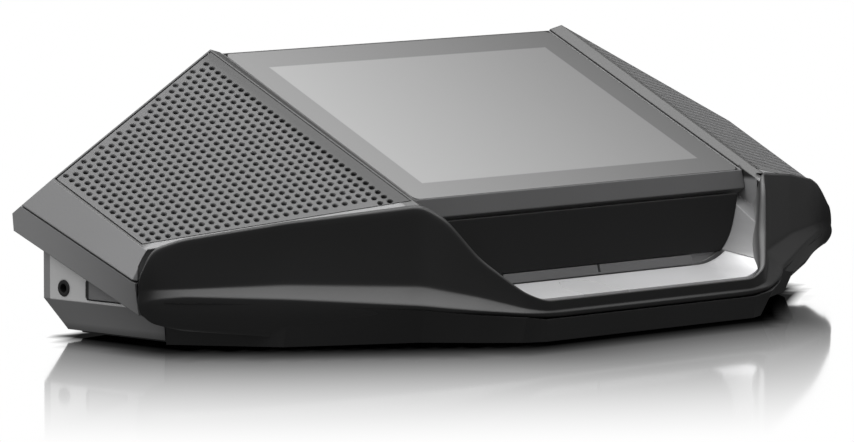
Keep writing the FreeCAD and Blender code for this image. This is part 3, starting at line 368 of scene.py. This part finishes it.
# %% [markdown]
# ## The bumper
#
# The bumper is a black moulding round the front. It is low before the trough, climbs at the elbows and
# runs back along the wings to two blunt noses. Its section is one chain everywhere: a flange over the top
# edge, a slightly hollow face down to a crease, a ledge that slopes out to an edge, a wall that curves
# back below it, and the way back to the shell. A box with bevels would have straight runs and hard joints,
# so the section is carried along a path, and only its numbers change on the way.
#
# The numbers are set at a few stations of the right half. The section's place is x and y, and it is turned
# outwards by facing, in degrees. The heights are top, crease and edge. The ledge stands out by ledge, the
# wall below it drops by turn and runs back by slant, the face is hollow by hollow, and the flange reaches
# back by flange.

# %% Stations of the bumper
COLUMNS = ["x", "y", "facing", "top", "crease", "ledge", "edge", "turn", "slant", "hollow", "flange"]
STATIONS = np.array([
    [0.0, -82.0, 0.0, 16.75, 12.8, 0.9, 11.8, 1.8, 0.8, 0.0, 2.6],
    [50.0, -82.0, 0.0, 16.75, 12.8, 0.8, 11.8, 1.8, 0.8, 0.0, 2.6],
    [57.7, -82.0, 8.0, 16.75, 12.8, 0.6, 12.0, 1.8, 0.8, 0.0, 2.6],
    [66.9, -79.8, 30.0, 20.4, 14.2, 1.7, 12.6, 1.6, 0.8, 0.3, 5.0],
    [80.2, -68.6, 46.0, 33.9, 18.6, 4.8, 14.1, 4.0, 6.5, 0.6, 7.5],
    [89.0, -60.6, 42.0, 48.8, 20.9, 6.0, 15.2, 5.7, 8.9, 0.8, 6.4],
    [95.2, -53.8, 38.0, 54.4, 22.6, 7.0, 16.1, 7.0, 11.0, 1.0, 5.5],
    [140.0, -27.1, 30.0, 48.8, 24.6, 5.2, 19.7, 15.0, 8.5, 1.0, 2.6],
    [174.3, -8.0, 32.0, 43.4, 24.2, 2.4, 21.6, 13.0, 6.0, 0.3, 2.6],
    [185.0, -2.4, 40.0, 39.8, 24.6, 1.6, 20.6, 9.0, 4.5, -0.8, 2.6],
    [189.9, -2.6, 62.0, 31.6, 24.6, 1.2, 19.6, 5.0, 3.0, -0.6, 2.6],
])
print(len(STATIONS), "stations of", len(COLUMNS), "numbers")

# %% Sections along the strip
MIRROR = np.where(np.isin(COLUMNS, ["x", "facing"]), -1, 1)
STRIP_STEP = 1.0
STRIP_SOFT = 10


def softened(values, steps):
    """Rounds the corners of sampled curves: at each step every inner sample goes half way to the mean of
    the samples before and after it."""
    for _ in range(steps):
        inner = (values[:-2] + 2 * values[1:-1] + values[2:]) / 4
        values = np.concatenate([values[:1], inner, values[-1:]])
    return values


def strip_samples():
    """The stations sampled evenly by length along the right half, mirrored to the left and softened."""
    along = np.concatenate([[0], np.cumsum(np.hypot(*np.diff(STATIONS[:, :2], axis=0).T))])
    places = np.append(np.arange(0, along[-1], STRIP_STEP), along[-1])
    right = np.stack([np.interp(places, along, column) for column in STATIONS.T], axis=1)
    return softened(np.concatenate([right[:0:-1] * MIRROR, right]), STRIP_SOFT)


print("the stations become", len(strip_samples()), "sections")

# %% [markdown]
# ## The bumper's surface
#
# Each section becomes a row of the grid. Where the flange reaches far back, at the elbows, it lies over
# the grey shell and is seen as part of it, so a number named rim is kept with every point to tint it grey
# there. The two ends could be left open or capped flat. A small dome is nearer to the real noses: the last
# section shrinks to its middle along a quarter circle.

# %% Bumper surface
FACE_POINTS = 14
TOP_ROUND = 0.6
SECTION_SOFT = 2
RIM_FLANGE = 3.0
RIM_POINTS = 2
NOSE_REACH = 1.8
NOSE_TURNS = 8


def bumper_grid():
    """Points of the strip: place, plus outward times n, plus up times z, for the section's chain of n and z.
    The rim is how far the flange passes a limit, on the chain's first points."""
    x, y, facing, top, crease, ledge, edge, turn, slant, hollow, flange = strip_samples().T[..., None]
    share = np.linspace(0, 1, FACE_POINTS)
    face_n = -hollow * np.sin(np.pi * share)
    wall_n = ledge - slant * share ** 2
    chain_n = [-flange, -flange, -flange / 2, face_n, ledge * share, wall_n, -flange]
    face_z = top + (crease - top) * share
    ledge_z = crease + (edge - crease) * share
    chain_z = [crease, top - TOP_ROUND, top, face_z, ledge_z, edge - turn * share, edge - turn]
    n, z = (softened(np.concatenate(chain, axis=1).T, SECTION_SOFT).T for chain in (chain_n, chain_z))
    angle = np.radians(facing)
    rim = np.clip(flange - RIM_FLANGE, 0, 1) * (np.arange(n.shape[1]) < RIM_POINTS)
    return np.stack([x + np.sin(angle) * n, y - np.cos(angle) * n, z, rim], axis=-1)


def dome(last, before):
    """Sections that close an end: middle, plus cosine times the section, plus sine times a reach outward."""
    angle = np.linspace(0, np.pi / 2, NOSE_TURNS + 1)[1:, None, None]
    middle = last.mean(axis=0)
    outward = middle - before.mean(axis=0)
    outward /= np.linalg.norm(outward)
    return middle + (last - middle) * np.cos(angle) + outward * NOSE_REACH * np.sin(angle)


strip = bumper_grid()
strip = np.concatenate([dome(strip[0], strip[1])[::-1], strip, dome(strip[-1], strip[-2])])
strip = strip[::-1]  # from right to left, so that the faces point outwards
print("bumper grid of", strip.shape[0], "by", strip.shape[1], "points")

# %% Bumper piece
bumper = surface("bumper_skin", strip[..., :3])
bumper.data.attributes.new("rim", "FLOAT", "POINT").data.foreach_set("value", strip[..., 3].ravel())
black = plastic("black_plastic", level=0.155, rough=0.32, grain=0.08, edge=0.8)
black.shade(Specular_IOR_Level=0.4)
tinted(black, black.add("Attribute", attribute_name="rim").outputs["Fac"], level=0.50)
bumper.data.materials.append(black.owner)
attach(bumper, "base")
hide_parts("front_bumper")
nodes["front_bumper"].hide_render = True
print("bumper of", len(bumper.data.polygons), "faces")

# %% [markdown]
# ## The plane of a grille
#
# A grille is a flat sheet of painted metal with a lattice of round holes, let into the sloping wing.
# Cutting hundreds of holes with booleans would be slow and leave poor faces, so the sheet is worked out in
# its own plane, where it is a flat drawing. The plane comes from the solid's upper vertices: the direction
# in which they spread least points out of the sheet. One axis runs along the ridge beside the screen, the
# other across.

# %% Plane of the grille
RIDGE_FRONT = np.array([94.8, -53.2, 52.5])
RIDGE_REAR = np.array([97.0, 58.4, 105.5])
WING_FRONT = np.array([185.3, -1.0, 38.7])
SHEET = 1.15


def unit(vector):
    """Vector of the same direction and length one."""
    return vector / np.linalg.norm(vector)


def outline(points):
    """Corners of the convex outline of plane points, going round; points that coincide count once."""
    points = np.unique(points.round(2), axis=0)
    return points[convex_hull_2d(points.tolist())]


def sheet_plane(name):
    """The CAD sheet's axes (along the ridge, across it outward, out of it), corners and height in them."""
    points = cad_points(name)
    ridge = RIDGE_REAR - RIDGE_FRONT
    out = unit(np.cross(WING_FRONT - RIDGE_FRONT, ridge))
    top = points[points @ out > (points @ out).max() - SHEET / 2]
    out = np.linalg.svd(top - top.mean(axis=0))[2][2]
    out *= np.sign(out[2])
    along = unit(ridge - ridge @ out * out)
    axes = np.stack([along, np.cross(along, out), out])
    flat = top @ axes.T
    return axes, outline(flat[:, :2]), flat[:, 2].mean()


axes, ring, height = sheet_plane("right_grille")
print("sheet of", len(ring), "corners, facing", axes[2].round(2))

# %% [markdown]
# ## The lattice of holes
#
# The holes stand in slanting rows. Two step vectors make the whole lattice: every centre is a whole number
# of the one plus a whole number of the other. Of a lattice that is larger than the sheet, the holes kept
# are those whose centre lies inside every edge by a margin, and the margin along the ridge is wider.

# %% Lattice of holes
HOLE_STEPS = np.array([[3.47, 0.0], [1.44, 3.53]])
LATTICE_SPAN = ((-60, 90), (-60, 60))
RIDGE_MARGIN = 2.6
EDGE_MARGIN = 1.35


def depth_inside(points, ring):
    """Distance of each point behind each side of the ring of corners, positive inside."""
    sides = np.roll(ring, -1, axis=0) - ring
    normal = np.stack([-sides[:, 1], sides[:, 0]], axis=1) / np.linalg.norm(sides, axis=1, keepdims=True)
    normal *= np.sign(((ring.mean(axis=0) - ring) * normal).sum(axis=1))[:, None]
    return np.einsum("pkc,kc->pk", points[:, None] - ring[None], normal)


origin = axes[:2] @ RIDGE_FRONT
counts = np.meshgrid(*(np.arange(*span) for span in LATTICE_SPAN), indexing="ij")
centres = origin + np.stack(counts, axis=-1).reshape(-1, 2) @ HOLE_STEPS
ridge_line = np.stack([origin, axes[:2] @ RIDGE_REAR])
ridge_side = np.abs(depth_inside(ridge_line, ring)).max(axis=0) < RIDGE_MARGIN
margin = np.where(ridge_side, RIDGE_MARGIN, EDGE_MARGIN)
centres = centres[(depth_inside(centres, ring) > margin).all(axis=1)]
print(len(centres), "holes in each grille")

# %% [markdown]
# ## The sheet between the holes
#
# A constrained triangulation fills the sheet between its outline and the rims of the holes: it keeps every
# given edge as an edge of triangles. It fills the holes as well, but a triangle with all three corners on
# one rim can only be a plug, and these are dropped.

# %% Sheet between the holes
HOLE_RADIUS = 0.95
HOLE_RIM = 0.3
HOLE_SIDES = 14
CLOSENESS = 1e-6

around = np.linspace(0, 2 * np.pi, HOLE_SIDES, endpoint=False)
circle = np.stack([np.cos(around), np.sin(around)], axis=-1)
rims = centres[:, None] + circle * (HOLE_RADIUS + HOLE_RIM)
flat = np.concatenate([ring, rims.reshape(-1, 2)])
border = np.arange(len(ring))
loops = len(ring) + np.arange(len(centres) * HOLE_SIDES).reshape(-1, HOLE_SIDES)
edges = np.concatenate([
    np.stack([border, np.roll(border, -1)], axis=-1),
    np.stack([loops, np.roll(loops, -1, axis=1)], axis=-1).reshape(-1, 2),
])
filled = delaunay_2d_cdt(flat.tolist(), edges.tolist(), [], 0, CLOSENESS)
sheet_points = np.array(filled[0])
corners = np.array(filled[2])
hole = np.where(corners < len(ring), -1 - corners, (corners - len(ring)) // HOLE_SIDES)
plug = (hole == hole[:, :1]).all(axis=1)
sheet_faces = corners[~plug]
print(len(sheet_faces), "triangles in the sheet,", plug.sum(), "dropped")

# %% [markdown]
# ## The grille pieces
#
# Seen from the side, the holes have walls as deep as the sheet. A modifier could give the sheet its
# thickness, but it would also make a back that nobody sees, so every hole gets a short sleeve instead:
# from the rim a small slope to the waist, and then straight down. The left grille is the right one
# mirrored, with its faces turned round so that they still point outwards.

# %% Grille pieces


def sleeve_points():
    """Rim, waist and foot of every hole, as holes by levels by sides by three: centre plus circle times the
    level's radius, lowered by the level's drop. The first side is repeated to close the round."""
    levels = [(HOLE_RADIUS + HOLE_RIM, 0.0), (HOLE_RADIUS, HOLE_RIM), (HOLE_RADIUS, SHEET)]
    closed = np.concatenate([circle, circle[:1]])
    sleeve = [np.column_stack([closed * radius, np.full(len(closed), -drop)]) for radius, drop in levels]
    return np.pad(centres, ((0, 0), (0, 1)))[:, None, None] + np.stack(sleeve)


def grille(side):
    """Sheet and sleeves of one side: the plane's points carried into the unit by its axes."""
    sleeves = sleeve_points()
    levels, columns = sleeves.shape[1:3]
    first = len(sheet_points) + np.arange(len(centres)) * levels * columns
    quads = (cells(levels, columns)[None] + first[:, None, None]).reshape(-1, 4)
    local = np.concatenate([np.pad(sheet_points, ((0, 0), (0, 1))), sleeves.reshape(-1, 3)])
    world = (local + np.array([0, 0, height])) @ axes
    world[:, 0] *= side
    faces = sheet_faces[:, ::-side].tolist() + quads[:, ::-side].tolist()
    name = ("right_" if side > 0 else "left_") + "grille"
    piece = mesh(name + "_sheet", world, faces, smooth=False)
    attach(piece, "base")
    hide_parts(name)
    nodes[name].hide_render = True
    return piece


grilles = [grille(side) for side in (-1, 1)]
print("grilles of", [len(piece.data.polygons) for piece in grilles], "faces")

# %% [markdown]
# ## Grille paint and felt
#
# The sheets are painted dark grey, and along the ridge they are darker still, because the ridge stands
# over them. Lamps give only part of that shade, so the paint carries the rest. Black felt lies behind the
# holes and keeps dust out: very rough and nearly without colour, so that the holes look deep.

# %% Grille paint and felt
RIDGE_SHADE = (99.0, 107.0)

metal = plastic("grille_paint", level=0.36, rough=0.50, grain=0.06, edge=0.1)
metal.shade(Specular_IOR_Level=0.35)
off_middle = metal.math("ABSOLUTE", metal.place()[0])
tinted(metal, metal.opposite(metal.past(off_middle, *RIDGE_SHADE)), level=0.18)
for piece in grilles:
    piece.data.materials.append(metal.owner)
felt = plastic("black_felt", level=0.05, rough=0.9, grain=0.4, scale=2500.0)
dress(felt, *both("dust_felt"))
print("grilles painted and backed with felt")

# %% [markdown]
# ## The talk key and its light
#
# The talk key is a shallow dish whose ends bend up, and its solid has that form already, so it only needs
# its lacquer. Silver lacquer lies between paint and metal: a pure metal would mirror the dark room, and a
# pure paint would look like white plastic, so the shader gets a quarter of metal. The light bar along the
# rear edge of the key is off and shows as plain grey plastic.

# %% Talk key and light bar
silver = plastic("silver_lacquer", level=0.88, rough=0.28, grain=0.04, edge=0.6)
silver.shade(Metallic=0.25)
dress(silver, "talk_key")
diffuser = plastic("light_bar_plastic", level=0.42, rough=0.40, grain=0.03, edge=0.2)
dress(diffuser, "light_bar")
print("key and light bar dressed")

# %% [markdown]
# ## The screen
#
# The cover glass shows two greys, the display's area and the border round it, both lighter on the left: a
# soft reflection. Clear glass over a bright panel would do it too, but it would change with every lamp, so
# the greys are painted on the glass with a glossy coat. The point's place is turned into screen
# directions: across, and up the tilt. Its least distance from the four sides of the area tells which grey
# it gets.

# %% Screen
TILT = np.radians(25.43)
LIT_LOW = (-35.0, 58.9)
LIT_SIZE = (152.4, 91.44)
LIT_LINE = 0.4
LIT_GREYS = (0.72, 0.52)
BORDER_GREYS = (0.59, 0.38)
GLASS_WIDTH = 180.0
SHEEN_SCALE = 6.0
SHEEN_DETAIL = 1.0
SHEEN_DRIFT = 0.1

glass = material("cover_glass")
x, y, z = glass.place()
run = glass.times(glass.math("SUBTRACT", y, LIT_LOW[0] * MM), float(np.cos(TILT)))
rise = glass.times(glass.math("SUBTRACT", z, LIT_LOW[1] * MM), float(np.sin(TILT)))
up = glass.math("ADD", run, rise)
from_side = glass.math("SUBTRACT", LIT_SIZE[0] / 2 * MM, glass.math("ABSOLUTE", x))
from_end = glass.math("MINIMUM", up, glass.math("SUBTRACT", LIT_SIZE[1] * MM, up))
lit = glass.past(glass.math("MINIMUM", from_side, from_end), -LIT_LINE, LIT_LINE)
noise = glass.add("TexNoise", {"Vector": glass.spot(), "Scale": SHEEN_SCALE, "Detail": SHEEN_DETAIL})
drift = glass.times(glass.math("SUBTRACT", noise.outputs[0], 0.5), SHEEN_DRIFT)
sheen = glass.math("ADD", glass.times(x, 1 / (GLASS_WIDTH * MM)), glass.math("ADD", drift, 0.5))
shown, edging = (glass.mix(sheen, grey(left), grey(right)) for left, right in (LIT_GREYS, BORDER_GREYS))
glass.shade(Base_Color=glass.mix(lit, edging, shown), Roughness=0.12, IOR=1.45)
dress(glass, "touch_glass")
dress(plastic("display_module", level=0.20, rough=0.5), "display_panel")
print("screen dressed with", len(glass.tree.nodes), "nodes")

# %% [markdown]
# ## Small and inner pieces
#
# Screws and pins are plated steel, feet and gaskets are rubber, and the boards are green under their
# solder mask. Little of this is seen from outside, but the sockets' mouths are, and someone may take the
# shells off. The plastic recipe serves here as well, with metal added for the steel. The tracks of the
# boards could be drawn one by one; a brick texture gives their look for a board that stays in the dark.

# %% Small and inner pieces
TRACK_SCALE = 90.0
MASK_GREEN = (0.01, 0.05, 0.025, 1)
TRACK_GREEN = (0.02, 0.11, 0.05, 1)

steel = plastic("plated_steel", level=0.62, rough=0.30, grain=0.05)
steel.shade(Metallic=0.9)
dress(steel, "speaker_screws", "screen_screws", "board_screws", "base_screws", *both("rocker_pin"),
      "shield_can", "microphone_capsule")
rubber = plastic("black_rubber", level=0.10, rough=0.8, grain=0.3)
dress(rubber, "rubber_feet", *both("speaker_gasket"))
board = plastic("solder_mask", level=0.25, rough=0.4)
tracks = board.add("TexBrick", {"Vector": board.spot(), "Scale": TRACK_SCALE}).outputs[1]
board.shade(Base_Color=board.mix(tracks, MASK_GREEN, TRACK_GREEN))
dress(board, "main_board", "key_board", *both("jack_board"))
socket = plastic("socket_plastic", level=0.14, rough=0.5)
dress(socket, *both("network_socket"), *both("headphone_jack"), "key_switch", *both("volume_switches"))
iron = plastic("bare_iron", level=0.30, rough=0.5)
dress(iron, *both("speaker_magnet"), *both("speaker_basket"), *both("speaker_cone"))
print("steel, rubber, boards, sockets and iron dressed")

# %% [markdown]
# ## The floor
#
# The unit stands on a white polished table. Near its foot the table mirrors it, and the mirror fades with
# the distance. A glossy material alone would mirror everything evenly, so two numbers are kept with every
# point of the floor's grid. The first is the mirror's strength: one minus the distance to the footprint
# over the mirror's length, raised to a power. The second is a contact shadow, which darkens a strip along
# the foot, mostly forward and to the left. The lines of the grid stand close together under the unit and
# far apart at its ends.

# %% Footprint of the unit
FOOT_HEIGHT = 8.0


def footprint():
    """Corners of the convex outline of everything near the floor, going round."""
    points = np.concatenate([cad_points("bottom_cover"), cad_points("lower_housing")])
    return outline(points[points[:, 2] < FOOT_HEIGHT, :2])


def off_outline(points, ring):
    """Distance of points from a convex ring: to the nearest spot on its nearest side, zero inside."""
    sides = np.roll(ring, -1, axis=0) - ring
    offset = points[:, None] - ring[None]
    share = np.clip((offset * sides).sum(axis=-1) / (sides ** 2).sum(axis=-1), 0, 1)
    near = np.linalg.norm(offset - share[..., None] * sides, axis=-1).min(axis=1)
    return np.where((depth_inside(points, ring) > 0).all(axis=1), 0, near)


foot = footprint()
print("footprint of", len(foot), "corners")

# %% Floor and its two numbers
FLOOR_HALF = 6000.0
FLOOR_BUNCHING = 4.5
FLOOR_LINES = 201
MIRROR_LENGTH = 280.0
MIRROR_POWER = 1.4
SHADOW_WAY = np.array([-0.709, -0.705])
SHADOW_REACH = 36.0
SHADOW_STEPS = 7
SHADOW_EDGE = 6.0
SHADOW_LEAST = 0.1

line = FLOOR_HALF * np.sinh(FLOOR_BUNCHING * np.linspace(-1, 1, FLOOR_LINES)) / np.sinh(FLOOR_BUNCHING)
grid = np.stack([*np.meshgrid(line, line, indexing="ij"), np.zeros((FLOOR_LINES, FLOOR_LINES))], axis=-1)
on_floor = grid.reshape(-1, 3)[:, :2]
mirror = np.clip(1 - off_outline(on_floor, foot) / MIRROR_LENGTH, 0, 1) ** MIRROR_POWER
shadow = [off_outline(on_floor - reach * SHADOW_WAY, foot) / SHADOW_EDGE + reach / SHADOW_REACH
          for reach in np.linspace(0, SHADOW_REACH, SHADOW_STEPS)]
contact = np.clip(np.min(shadow, axis=0), SHADOW_LEAST, 1) ** 2
floor = surface("floor", grid)
for name, values in (("mirror", mirror), ("contact", contact)):
    floor.data.attributes.new(name, "FLOAT", "POINT").data.foreach_set("value", values)
print("floor of", len(floor.data.polygons), "faces, mirror of", MIRROR_LENGTH, "mm")

# %% [markdown]
# ## The polish of the floor
#
# Seen directly the floor is white, so it shines by itself for the camera and needs no extra light on the
# unit. For all other rays it shines less, and least for glossy rays, or the black plastic would mirror a
# white table and turn grey. A polished sheet mirrors most at a grazing look. The mirror therefore fades
# when the floor is seen from above.

# %% Floor polish
GLOW = 0.3
GLOW_IN_GLOSS = 0.09
CONTACT_WHITE = 0.45
POLISH_ROUGH = 0.06
GRAZING = (0.80, 0.885)
WHITE = (1, 1, 1, 1)

polish = material("white_floor")
path = polish.add("LightPath").outputs
mirror_share = polish.add("Attribute", attribute_name="mirror").outputs["Fac"]
contact_share = polish.add("Attribute", attribute_name="contact").outputs["Fac"]
unseen = polish.between(path["Is Glossy Ray"], GLOW, GLOW_IN_GLOSS)
seen = polish.between(contact_share, CONTACT_WHITE, 1.0)
glow = {"Color": WHITE, "Strength": polish.between(path["Is Camera Ray"], unseen, seen)}
gloss = {"Color": contact_share, "Roughness": POLISH_ROUGH}
grazing = polish.ramp(polish.add("LayerWeight").outputs["Facing"], *GRAZING)
blend = {0: polish.times(path["Is Camera Ray"], polish.times(grazing, mirror_share)),
         1: polish.add("Emission", glow).outputs[0],
         2: polish.add("BsdfGlossy", gloss).outputs[0]}
surface_socket = polish.tree.nodes["Material Output"].inputs["Surface"]
polish.join(polish.add("MixShader", blend).outputs[0], surface_socket)
floor.data.materials.append(polish.owner)
print("floor polished with", len(polish.tree.nodes), "nodes")

# %% [markdown]
# ## The room
#
# The unit stands in a white studio with its light overhead. The camera sees plain white. Rough surfaces
# get soft light, less from below than from above. Glossy surfaces see a room that is dark at the sides and
# bright overhead, which gives the black plastic its shape, and a white card behind the unit for the
# floor's mirror to show. An image of a studio would do the same, but a few bands of grey are enough.

# %% Room
ROOM_BANDS = [(0.0, 0.015), (0.25, 0.03), (0.55, 0.12), (0.80, 0.80), (1.0, 1.0)]
ROOM_PEAK = 3.0
ROOM_SOFT = (0.28, 0.80)
CARD = (0.706, 0.702, 0.096)
CARD_EDGE = (0.965, 0.985)

scene.world = bpy.data.worlds.new("room")
room = Recipe(scene.world, "Background")
path = room.add("LightPath").outputs
way = room.add("TexCoord").outputs["Generated"]
height_in_room = room.add("SeparateXYZ", {0: way}).outputs[2]
bands = room.add("ValToRGB", {"Fac": height_in_room})
stops = bands.color_ramp.elements
for place, _ in ROOM_BANDS[1:-1]:
    stops.new(place)
for stop, (_, level) in zip(stops, ROOM_BANDS):
    stop.color = (level, level, level, 1)
toward_card = room.add("VectorMath", {0: way, 1: CARD}, operation="DOT_PRODUCT").outputs["Value"]
banded = room.times(bands.outputs[0], ROOM_PEAK)
in_gloss = room.between(room.ramp(toward_card, *CARD_EDGE), banded, 1.0)
unseen = room.between(path["Is Glossy Ray"], room.between(height_in_room, *ROOM_SOFT), in_gloss)
room.shade(Color=WHITE, Strength=room.between(path["Is Camera Ray"], unseen, 1.0))
print("room lit with", len(stops), "bands")

# %% [markdown]
# ## Lamps and camera
#
# The room lights the unit evenly from all sides, and that alone looks flat. Two large lamps add a
# direction: one overhead and a little behind, one at the left. Small lamps would throw hard shadows, which
# a studio avoids. The camera stands in front and to the left, low over the table and far away, with a long
# lens, so that the unit's lines stay nearly parallel.

# %% Lamps and camera
LAMP_AIM = Vector((0, 0, 0.05))
TO_CAMERA = Vector((-0.7060, -0.7018, 0.0960))
CAMERA_PLACE = (-1.9051, -1.8556, 0.2935)
CAMERA_LENS = 291.2
CAMERA_SENSOR = 36.0
CAMERA_FAR = 50.0


def stand(made, place, look):
    """Put a lamp or a camera at a place in metres, with its own minus z axis along a look."""
    made.location = place
    made.rotation_mode = "QUATERNION"
    made.rotation_quaternion = look.to_track_quat("-Z", "Y")
    scene.collection.objects.link(made)


def lamp_at(name, place, size, power):
    """Square area lamp of a size in metres, looking at the unit's middle."""
    data = bpy.data.lights.new(name, "AREA")
    data.size = size
    data.energy = power
    stand(bpy.data.objects.new(name, data), place, LAMP_AIM - Vector(place))


lamp_at("top_lamp", (0.2, 0.3, 1.6), size=1.2, power=12.0)
lamp_at("left_lamp", (-1.6, 0.1, 0.9), size=0.6, power=10.0)

camera = bpy.data.objects.new("camera", bpy.data.cameras.new("camera"))
camera.data.sensor_width = CAMERA_SENSOR
camera.data.lens = CAMERA_LENS
camera.data.clip_end = CAMERA_FAR
stand(camera, CAMERA_PLACE, -TO_CAMERA)
scene.camera = camera
print(len(bpy.data.lights), "lamps, camera", round(camera.location.length, 2), "m away")

# %% [markdown]
# The drawn model has to keep to the box of the solids, because others build with those sizes.
